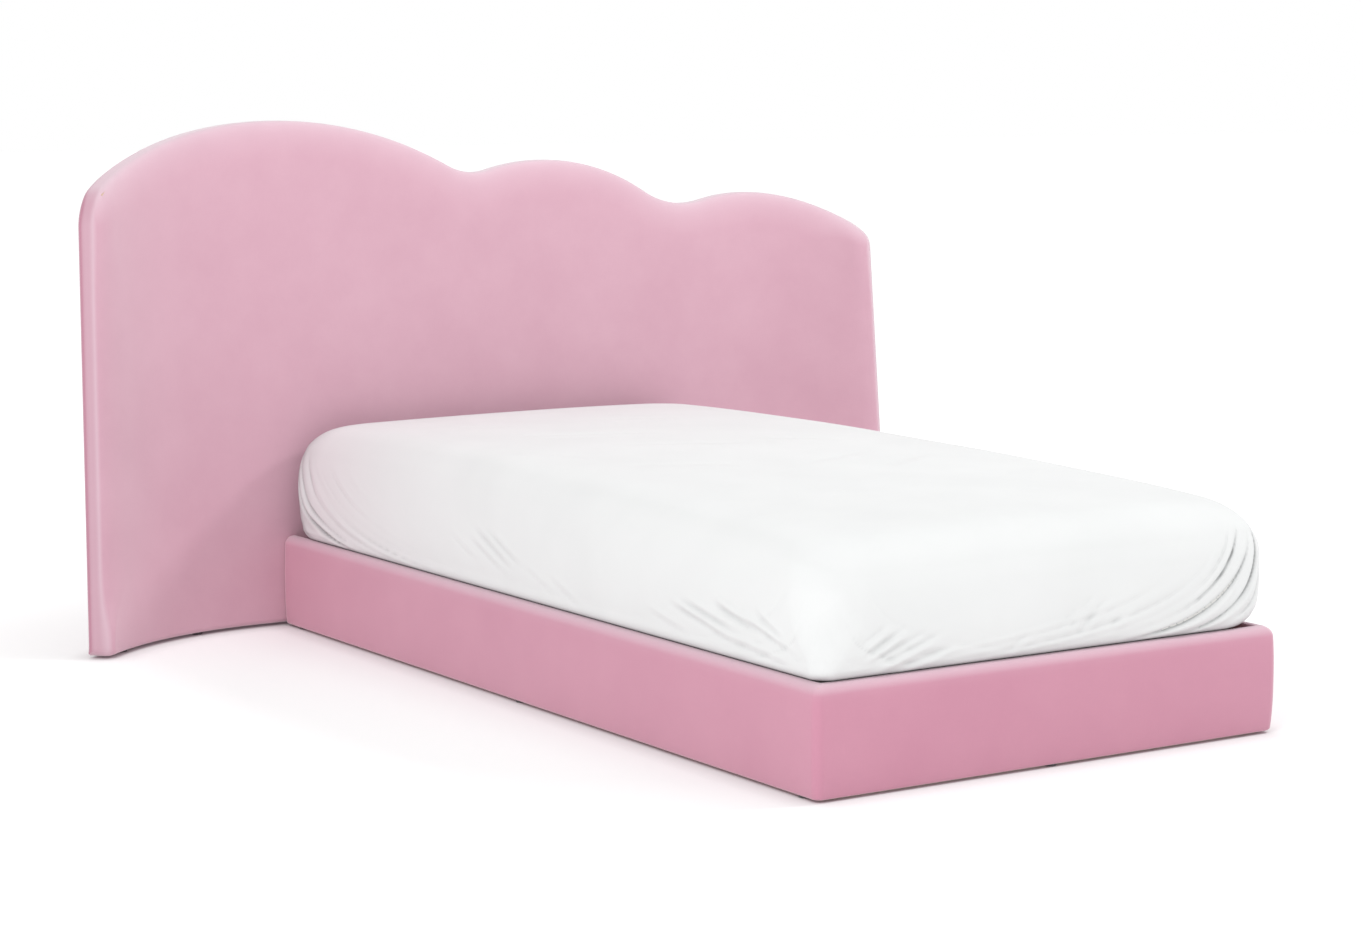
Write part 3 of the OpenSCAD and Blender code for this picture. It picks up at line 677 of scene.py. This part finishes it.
# Creases on the left side: distance from the foot and height above the rail, at both ends; depth
LEFT_CREASES = [
    (0.48, 0.076, 0.28, 0.036, 1.5), (0.44, 0.088, 0.25, 0.050, 1.2), (0.335, 0.098, 0.19, 0.060, 1.5),
    (0.26, 0.086, 0.07, 0.036, 1.3), (0.37, 0.044, 0.07, 0.015, 1.2), (0.20, 0.100, 0.10, 0.055, 0.8),
    (0.56, 0.052, 0.40, 0.022, 0.8), (1.20, 0.128, 1.03, 0.050, 1.0), (1.23, 0.110, 1.06, 0.036, 0.8),
    (1.14, 0.126, 1.00, 0.062, 0.8), (1.30, 0.104, 1.18, 0.050, 0.5), (0.90, 0.062, 0.78, 0.014, 0.7),
    (1.00, 0.070, 0.88, 0.026, 0.5),
]
# The same on the foot side: distance from its left end
FOOT_CREASES = [
    (0.185, 0.084, 0.095, 0.038, 1.5), (0.265, 0.068, 0.110, 0.016, 1.5), (0.235, 0.074, 0.105, 0.026, 1.2),
    (0.150, 0.094, 0.085, 0.056, 0.9), (0.30, 0.044, 0.16, 0.008, 0.9), (0.615, 0.110, 0.54, 0.036, 1.0),
    (0.640, 0.096, 0.57, 0.028, 0.9), (0.585, 0.096, 0.52, 0.040, 0.7), (0.700, 0.082, 0.64, 0.028, 0.7),
    (0.46, 0.050, 0.41, 0.012, 0.5),
]
# Faint wrinkles on top: x and y at both ends; depth
TOP_CREASES = [
    (-0.28, 0.42, 0.02, 0.30, 1.4), (-0.20, 0.16, 0.10, 0.02, 0.8), (-0.36, -0.10, -0.10, -0.24, 0.7),
    (-0.05, -0.30, 0.22, -0.20, 0.8), (0.05, -0.42, 0.30, -0.28, 0.8), (-0.12, -0.52, 0.16, -0.40, 0.6),
    (0.12, 0.10, 0.34, -0.04, 0.7), (-0.02, 0.62, 0.26, 0.52, 0.7), (-0.34, 0.66, -0.12, 0.56, 0.6),
    (0.18, -0.62, 0.40, -0.50, 0.6), (-0.30, -0.62, -0.05, -0.70, 0.6), (-0.42, 0.20, -0.30, -0.02, 0.6),
]
# Width of a crease, and its depth for each unit of the lists above
SIDE_CREASE_W, SIDE_CREASE_D = 0.0060, 0.0029
TOP_CREASE_W, TOP_CREASE_D = 0.020, 0.0022


def fold_sheet(obj):
    """Moves the sheet's points in and out along their normals to make its folds."""
    mesh = obj.data
    count = len(mesh.vertices)
    points, normals = np.zeros(count * 3), np.zeros(count * 3)
    mesh.vertices.foreach_get("co", points)
    mesh.vertex_normals.foreach_get("vector", normals)
    points, normals = points.reshape(-1, 3), normals.reshape(-1, 3)
    shift = drawn_folds(points, normals)
    foot = MATTRESS_Y - MATTRESS_HALF_L - SIDE_SWELL
    left = -MATTRESS_HALF_W - SIDE_SWELL
    for a, h, b, k, depth in LEFT_CREASES:
        shift += crease(points, (left, foot + a, RAIL_TOP + h), (left, foot + b, RAIL_TOP + k),
                        SIDE_CREASE_W, depth * SIDE_CREASE_D)
    for a, h, b, k, depth in FOOT_CREASES:
        shift += crease(points, (left + a, foot, RAIL_TOP + h), (left + b, foot, RAIL_TOP + k),
                        SIDE_CREASE_W, depth * SIDE_CREASE_D)
    crown = NOMINAL_TOP + 0.01
    for x, y, u, v, depth in TOP_CREASES:
        shift += crease(points, (x, y, crown), (u, v, crown), TOP_CREASE_W, depth * TOP_CREASE_D)
    points += normals * shift[:, None]
    mesh.vertices.foreach_set("co", points.ravel())
    mesh.update()


# ---------- Materials ----------

class Look:
    """A procedural material: its node tree, and short ways to add what cloth and wood need."""

    def __init__(self, name, color, roughness, **sockets):
        self.material = bpy.data.materials.new(name)
        self.material.use_nodes = True
        self.tree = self.material.node_tree
        self.shader = self.tree.nodes["Principled BSDF"]
        self.set("Base Color", (*color, 1))
        self.set("Roughness", roughness)
        for socket, value in sockets.items():
            self.set(socket.replace("_", " "), value)

    def set(self, socket, value):
        self.shader.inputs[socket].default_value = value

    def node(self, kind, inputs=None, **settings):
        node = self.tree.nodes.new(kind)
        for key, value in settings.items():
            setattr(node, key, value)
        for key, value in (inputs or {}).items():
            if isinstance(value, bpy.types.NodeSocket):
                self.tree.links.new(value, node.inputs[key])
            else:
                node.inputs[key].default_value = value
        return node

    def place(self, stretch=(1, 1, 1), cloth=True):
        """Where a point is: on the flat cloth, or in the object's own space, in metres."""
        if cloth:
            source = self.node("ShaderNodeUVMap", uv_map=CLOTH).outputs["UV"]
        else:
            source = self.node("ShaderNodeTexCoord").outputs["Object"]
        return self.node("ShaderNodeMapping", {"Vector": source, "Scale": stretch}).outputs["Vector"]

    def noise(self, scale, detail=2, rough=0.5, stretch=(1, 1, 1), cloth=True):
        place = self.place(stretch, cloth)
        return self.node("ShaderNodeTexNoise", {"Vector": place, "Scale": scale, "Detail": detail,
                                                "Roughness": rough}).outputs["Fac"]

    def wave(self, scale, direction, stretch=(1, 1, 1), distortion=0.0, cloth=True):
        place = self.place(stretch, cloth)
        return self.node("ShaderNodeTexWave", {"Vector": place, "Scale": scale,
                                               "Distortion": distortion},
                         bands_direction=direction).outputs["Fac"]

    def math(self, operation, a, b=0.5):
        return self.node("ShaderNodeMath", {0: a, 1: b}, operation=operation).outputs[0]

    def ramp(self, value, start, end, low=0.0, high=1.0):
        """Maps start to end of a value on to low to high, and holds it there beyond them."""
        inputs = {"Value": value, "From Min": start, "From Max": end, "To Min": low, "To Max": high}
        return self.node("ShaderNodeMapRange", inputs).outputs["Result"]

    def spread(self, value, low, high):
        """Spreads the middle of a noise over low to high."""
        return self.ramp(value, 0.3, 0.7, low, high)

    def blend(self, factor, a, b):
        node = self.node("ShaderNodeMix", data_type="RGBA")
        self.tree.links.new(factor, node.inputs[0])
        for i, colour in ((6, a), (7, b)):
            if isinstance(colour, bpy.types.NodeSocket):
                self.tree.links.new(colour, node.inputs[i])
            else:
                node.inputs[i].default_value = (*colour, 1)
        return node.outputs[2]

    def colour(self, output):
        self.tree.links.new(output, self.shader.inputs["Base Color"])

    def roughness(self, output):
        self.tree.links.new(output, self.shader.inputs["Roughness"])

    def bump(self, height, strength, distance, below=None):
        inputs = {"Height": height, "Strength": strength, "Distance": distance}
        if below is not None:
            inputs["Normal"] = below
        normal = self.node("ShaderNodeBump", inputs).outputs["Normal"]
        self.tree.links.new(normal, self.shader.inputs["Normal"])
        return normal


def velvet(name, dark, light, painted_highlight_colour, tips):
    """Velvet pile: soft blotches where it was brushed and faint lines of the weave. A painted highlight
    makes it paler where it faces up and, by tips, where it faces out to the sides, and painted shade
    darkens it round the back of the tips."""
    look = Look(name, light, 0.82, Sheen_Weight=0.8, Sheen_Roughness=0.45,
                Sheen_Tint=(1, 0.95, 0.97, 1), Specular_IOR_Level=0.15)
    brushed = look.spread(look.noise(5, 5, 0.62), 0.0, 1.0)
    base = look.blend(brushed, dark, light)
    streaks = look.math("MULTIPLY", look.noise(1, 3, 0.6, (40, 700, 1)),
                        look.noise(1, 3, 0.6, (700, 40, 1)))
    base = look.blend(look.math("MULTIPLY", streaks, 0.6), base, [0.9 * v for v in dark])
    facing = look.node("ShaderNodeSeparateXYZ", {0: look.node("ShaderNodeTexCoord").outputs["Normal"]})
    # painted highlight: paler where the pile faces up, standing in for light from above
    painted_top_highlight = look.ramp(facing.outputs["Z"], 0.05, 0.95, high=0.66)
    side = look.node("ShaderNodeSeparateXYZ", {0: look.node("ShaderNodeTexCoord").outputs["Object"]})
    outward = look.math("MULTIPLY", facing.outputs["X"], look.math("SIGN", side.outputs["X"]))
    # painted highlight on the turned ends of the tips, where they face the light
    painted_tip_highlight = look.ramp(outward, 0.02, 0.45, high=0.42 * tips)
    pale = look.blend(look.math("MAXIMUM", painted_top_highlight, painted_tip_highlight), base, painted_highlight_colour)
    # painted shade: darker and deeper round the back of the tips, turned away from the light
    turned = look.ramp(outward, 0.30, 0.72, high=tips)
    behind = look.ramp(facing.outputs["Y"], -0.90, -0.42)
    painted_rim_shade = look.math("MULTIPLY", turned, behind)
    look.colour(look.blend(painted_rim_shade, pale, [0.80 * dark[0], 0.58 * dark[1], 0.66 * dark[2]]))
    look.roughness(look.spread(look.noise(40, 3), 0.76, 0.88))
    pile = look.bump(look.noise(1400, 2, 0.6), 0.22, 0.0006)
    weave = look.math("ADD", look.wave(420, "X"), look.wave(420, "Y"))
    look.bump(weave, 0.08, 0.0003, pile)
    return look.material


def cotton():
    """White cotton, with painted shade that darkens it in its folds and where it lies close to something.
    """
    look = Look("white_cotton", (0.79, 0.795, 0.795), 0.85, Sheen_Weight=0.05, Sheen_Roughness=0.5,
                Specular_IOR_Level=0.2)
    tone = look.spread(look.noise(5, 3), 0.0, 1.0)
    cloth = look.blend(tone, (0.785, 0.795, 0.793), (0.81, 0.82, 0.818))
    # painted shade: darker in the hollows of the folds
    hollow = look.node("ShaderNodeNewGeometry").outputs["Pointiness"]
    cloth = look.blend(look.ramp(hollow, 0.44, 0.497), (0.60, 0.61, 0.612), cloth)
    # painted shade: darker where the sheet lies close to the rails, headboard and its own folds
    open_air = look.node("ShaderNodeAmbientOcclusion", {"Distance": 0.16}).outputs["AO"]
    look.colour(look.blend(look.ramp(open_air, 0.30, 1.0), (0.36, 0.372, 0.370), cloth))
    look.roughness(look.spread(look.noise(60, 2), 0.80, 0.9))
    crumple = look.bump(look.noise(16, 4, 0.55), 0.10, 0.004)
    weave = look.math("ADD", look.wave(700, "X"), look.wave(700, "Y"))
    look.bump(weave, 0.10, 0.0002, crumple)
    return look.material


def lining():
    look = Look("dusty_pink_lining", (0.52, 0.33, 0.39), 0.9, Sheen_Weight=0.15)
    tone = look.spread(look.noise(9, 4), 0.0, 1.0)
    base = look.blend(tone, (0.48, 0.30, 0.355), (0.55, 0.355, 0.415))
    threads = look.math("MULTIPLY", look.wave(260, "X", distortion=1.0),
                        look.wave(260, "Y", distortion=1.0))
    look.colour(look.blend(look.math("MULTIPLY", threads, 0.6), base, (0.63, 0.45, 0.50)))
    look.bump(threads, 0.4, 0.0005)
    return look.material


def ticking():
    look = Look("quilted_ticking", (0.80, 0.80, 0.77), 0.88, Sheen_Weight=0.1)
    tone = look.spread(look.noise(12, 3), 0.0, 1.0)
    look.colour(look.blend(tone, (0.77, 0.765, 0.74), (0.82, 0.82, 0.79)))
    quilt = look.math("MULTIPLY", look.wave(4.0, "DIAGONAL"),
                      look.wave(4.0, "DIAGONAL", (-1, 1, 1)))
    pads = look.bump(quilt, 0.6, 0.006)
    look.bump(look.noise(500, 2), 0.25, 0.0005, pads)
    return look.material


def wood(name, dark, light, grain, layers=False):
    """Planed wood: long grain along the axis grain, darker rings, fine pores, and a plywood's layers."""
    look = Look(name, light, 0.6, Specular_IOR_Level=0.3)
    stretch = (2.2, 30, 30) if grain == "x" else (30, 2.2, 30)
    rings = look.noise(1.0, 5, 0.6, stretch, cloth=False)
    fine = look.noise(8.0, 4, 0.7, stretch, cloth=False)
    tone = look.math("ADD", look.math("MULTIPLY", rings, 0.75), look.math("MULTIPLY", fine, 0.25))
    base = look.blend(look.spread(tone, 0.0, 1.0), dark, light)
    if layers:
        plies = look.wave(105, "Z", cloth=False)
        base = look.blend(look.math("MULTIPLY", plies, 0.25), base, dark)
    look.colour(base)
    look.roughness(look.spread(fine, 0.5, 0.68))
    look.bump(tone, 0.25, 0.0006)
    return look.material


def foam():
    look = Look("cream_foam", (0.86, 0.80, 0.60), 0.95, Subsurface_Weight=0.1)
    cells = look.node("ShaderNodeTexVoronoi", {"Vector": look.place(cloth=False), "Scale": 900.0})
    tone = look.spread(look.noise(20, 3, cloth=False), 0.0, 1.0)
    look.colour(look.blend(tone, (0.82, 0.74, 0.52), (0.88, 0.83, 0.64)))
    look.bump(cells.outputs["Distance"], 0.5, 0.0006)
    return look.material


def zinc():
    look = Look("zinc_plated_steel", (0.60, 0.61, 0.62), 0.35, Metallic=1.0)
    tone = look.spread(look.noise(120, 3, cloth=False), 0.0, 1.0)
    look.colour(look.blend(tone, (0.54, 0.55, 0.56), (0.66, 0.67, 0.66)))
    look.roughness(look.spread(look.noise(300, 3, cloth=False), 0.25, 0.45))
    look.bump(look.noise(900, 2, cloth=False), 0.1, 0.0002)
    return look.material


def glide_plastic():
    look = Look("black_glide_plastic", (0.10, 0.095, 0.10), 0.5)
    tone = look.spread(look.noise(400, 3, cloth=False), 0.0, 1.0)
    look.colour(look.blend(tone, (0.085, 0.083, 0.085), (0.12, 0.115, 0.12)))
    look.roughness(look.spread(look.noise(600, 2, cloth=False), 0.4, 0.6))
    look.bump(look.noise(1500, 2, cloth=False), 0.15, 0.0002)
    return look.material


def tape():
    look = Look("woven_tape", (0.74, 0.73, 0.68), 0.85)
    threads = look.math("MULTIPLY", look.wave(300, "X", cloth=False),
                        look.wave(300, "Y", cloth=False))
    look.colour(look.blend(threads, (0.62, 0.61, 0.56), (0.80, 0.79, 0.74)))
    look.bump(threads, 0.5, 0.0005)
    return look.material


def elastic():
    look = Look("braided_elastic", (0.84, 0.84, 0.84), 0.8)
    braid = look.wave(400, "DIAGONAL", cloth=False)
    look.colour(look.blend(braid, (0.74, 0.74, 0.74), (0.88, 0.88, 0.88)))
    look.bump(braid, 0.5, 0.0005)
    return look.material


# ---------- The pieces in place ----------

def wear(obj, material):
    obj.data.materials.clear()
    obj.data.materials.append(material)
    return obj


# The same velvet twice: the headboard's copy has a paler, less saturated base than the rails', painted
# sheen standing in for the stronger light on the headboard.
head_velvet_painted_sheen = velvet("pink_velvet_headboard_painted_sheen", (0.608, 0.354, 0.436), (0.650, 0.395, 0.477),
                     (0.76, 0.62, 0.68), 0.9)
rail_velvet = velvet("pink_velvet_rails", (0.600, 0.265, 0.365), (0.635, 0.292, 0.392),
                     (0.78, 0.61, 0.68), 0.0)
cotton_look, foam_look = cotton(), foam()
PINE = (0.60, 0.41, 0.21), (0.83, 0.66, 0.42)
BIRCH = (0.62, 0.45, 0.27), (0.80, 0.65, 0.45)
pine_x = wood("pine_across", *PINE, "x")
pine_y = wood("pine_along", *PINE, "y")
ply_x = wood("birch_plywood_across", *BIRCH, "x", layers=True)
ply_y = wood("birch_plywood_along", *BIRCH, "y", layers=True)

CAD_LOOKS = {
    "headboard_face_panel": ply_x, "headboard_back_panel": ply_x, "headboard_lower_rib": pine_x,
    "headboard_middle_rib": pine_x, "headboard_upper_rib": pine_x,
    "headboard_edge_strip": pine_x, "headboard_studs": pine_x, "headboard_glides": glide_plastic(),
    "threaded_inserts": zinc(), "left_rail_board": ply_y, "right_rail_board": ply_y,
    "foot_rail_board": ply_x, "head_rail_board": ply_x, "corner_blocks": pine_y,
    "left_slat_ledge": pine_y, "right_slat_ledge": pine_y, "slats": pine_x, "slat_tapes": tape(),
    "mattress_core": foam_look, "mattress_top_foam": foam_look, "mattress_ticking": foam_look,
    "sheet_elastic": elastic(),
}
for node in ("headboard_bolts", "headboard_washers", "corner_bolts", "ledge_screws", "slat_screws"):
    CAD_LOOKS[node] = CAD_LOOKS["threaded_inserts"].copy()
CAD_LOOKS["base_glides"] = CAD_LOOKS["headboard_glides"]
for node, material in CAD_LOOKS.items():
    wear(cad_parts[node], material)

cover = wear(headboard_shell("headboard_velvet_cover", 0.0), head_velvet_painted_sheen)
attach(cover, "bed")
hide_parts("headboard_cover")

padding = wear(headboard_shell("headboard_padding", PAD_INSET), foam_look)
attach(padding, "bed")
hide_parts("headboard_foam")

lining_cloth = wear(back_lining(), lining())
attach(lining_cloth, "bed")
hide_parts("headboard_back_cloth")

rails = wear(rail_shell("rail_velvet_cover", 0.0), rail_velvet)
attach(rails, "bed")
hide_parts("left_rail_cover", "right_rail_cover", "foot_rail_cover")

rail_padding = wear(rail_shell("rail_padding", PAD_INSET), foam_look)
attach(rail_padding, "bed")
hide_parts("left_rail_foam", "right_rail_foam", "foot_rail_foam")

bed_sheet = wear(mattress_shell("fitted_cotton_sheet", 0.0, SHEET_SPACING), cotton_look)
fold_sheet(bed_sheet)
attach(bed_sheet, "mattress")
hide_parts("fitted_sheet")

TICKING_INSET, FOAM_INSET = 0.005, 0.009
ticking_pad = wear(mattress_shell("mattress_ticking_pad", TICKING_INSET, PAD_SPACING, closed=True),
                   ticking())
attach(ticking_pad, "mattress")
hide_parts("mattress_ticking")

CORE_LOW, CORE_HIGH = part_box("mattress_core")
core = wear(mattress_shell("mattress_foam_core", FOAM_INSET, PAD_SPACING, closed=True,
                           low=CORE_LOW.z, high=CORE_HIGH.z), foam_look)
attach(core, "mattress")
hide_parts("mattress_core")

top_foam = wear(mattress_shell("mattress_soft_top", FOAM_INSET, PAD_SPACING, closed=True,
                               low=CORE_HIGH.z, high=NOMINAL_TOP), foam_look)
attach(top_foam, "mattress")
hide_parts("mattress_top_foam")


# ---------- Studio ----------

def white_world():
    """A white room: it lights the bed softly, and the camera sees it pure white."""
    world = bpy.data.worlds.new("soft_white")
    world.use_nodes = True
    nodes, links = world.node_tree.nodes, world.node_tree.links
    around = nodes["Background"]
    around.inputs["Color"].default_value = (1, 1, 1, 1)
    around.inputs["Strength"].default_value = 0.65
    seen = nodes.new("ShaderNodeBackground")
    seen.inputs["Color"].default_value = (1, 1, 1, 1)
    seen.inputs["Strength"].default_value = 1.0
    mix = nodes.new("ShaderNodeMixShader")
    links.new(nodes.new("ShaderNodeLightPath").outputs["Is Camera Ray"], mix.inputs[0])
    links.new(around.outputs[0], mix.inputs[1])
    links.new(seen.outputs[0], mix.inputs[2])
    links.new(mix.outputs[0], nodes["World Output"].inputs["Surface"])
    bpy.context.scene.world = world


def pale_floor():
    """A pale floor that glows into white away from the bed, and less so in the gaps under it."""
    half = 40
    floor = new_object("studio_floor", [(-half, -half, 0), (half, -half, 0), (half, half, 0),
                                        (-half, half, 0)], [(0, 1, 2, 3)])
    look = Look("pale_floor", (0.70, 0.70, 0.70), 0.9, Specular_IOR_Level=0.0,
                Emission_Color=(1, 1, 1, 1))
    place = look.node("ShaderNodeTexCoord").outputs["Object"]
    far = look.node("ShaderNodeVectorMath", {0: place}, operation="LENGTH").outputs["Value"]
    glow = look.ramp(far, 1.0, 2.4, 0.31, 0.62)
    open_sky = look.node("ShaderNodeAmbientOcclusion", {"Distance": 0.06}).outputs["AO"]
    glow = look.math("MULTIPLY", glow, open_sky)
    look.tree.links.new(glow, look.shader.inputs["Emission Strength"])
    wear(floor, look.material)


def softbox(name, place, target, size, power):
    light = bpy.data.lights.new(name, "AREA")
    light.shape = "DISK"
    light.size = size
    light.energy = power
    lamp = bpy.data.objects.new(name, light)
    bpy.context.scene.collection.objects.link(lamp)
    lamp.location = place
    aim = Vector(target) - Vector(place)
    lamp.rotation_euler = aim.to_track_quat("-Z", "Y").to_euler()


def photo_camera():
    """The camera that was fitted to the photo."""
    camera_data = bpy.data.cameras.new("photo_camera")
    camera_data.lens = 81.69
    camera_data.sensor_width = 36
    camera_data.clip_end = 200
    camera = bpy.data.objects.new("photo_camera", camera_data)
    camera.location = (-3.536, -5.249, 1.241)
    camera.rotation_euler = (math.radians(82.633), math.radians(0.02), math.radians(-33.10))
    bpy.context.scene.collection.objects.link(camera)
    bpy.context.scene.camera = camera


bpy.context.scene.view_settings.view_transform = "Standard"
white_world()
pale_floor()
softbox("key_softbox", (2.9, -1.9, 3.3), (-0.6, 0.8, 0.5), 0.75, 54)
softbox("left_softbox", (-4.25, -3.2, 3.8), (0, 0, 0.4), 2.5, 118)
softbox("top_softbox", (0.2, 0.1, 2.9), (0.1, 0.5, 0.5), 1.4, 11)
photo_camera()
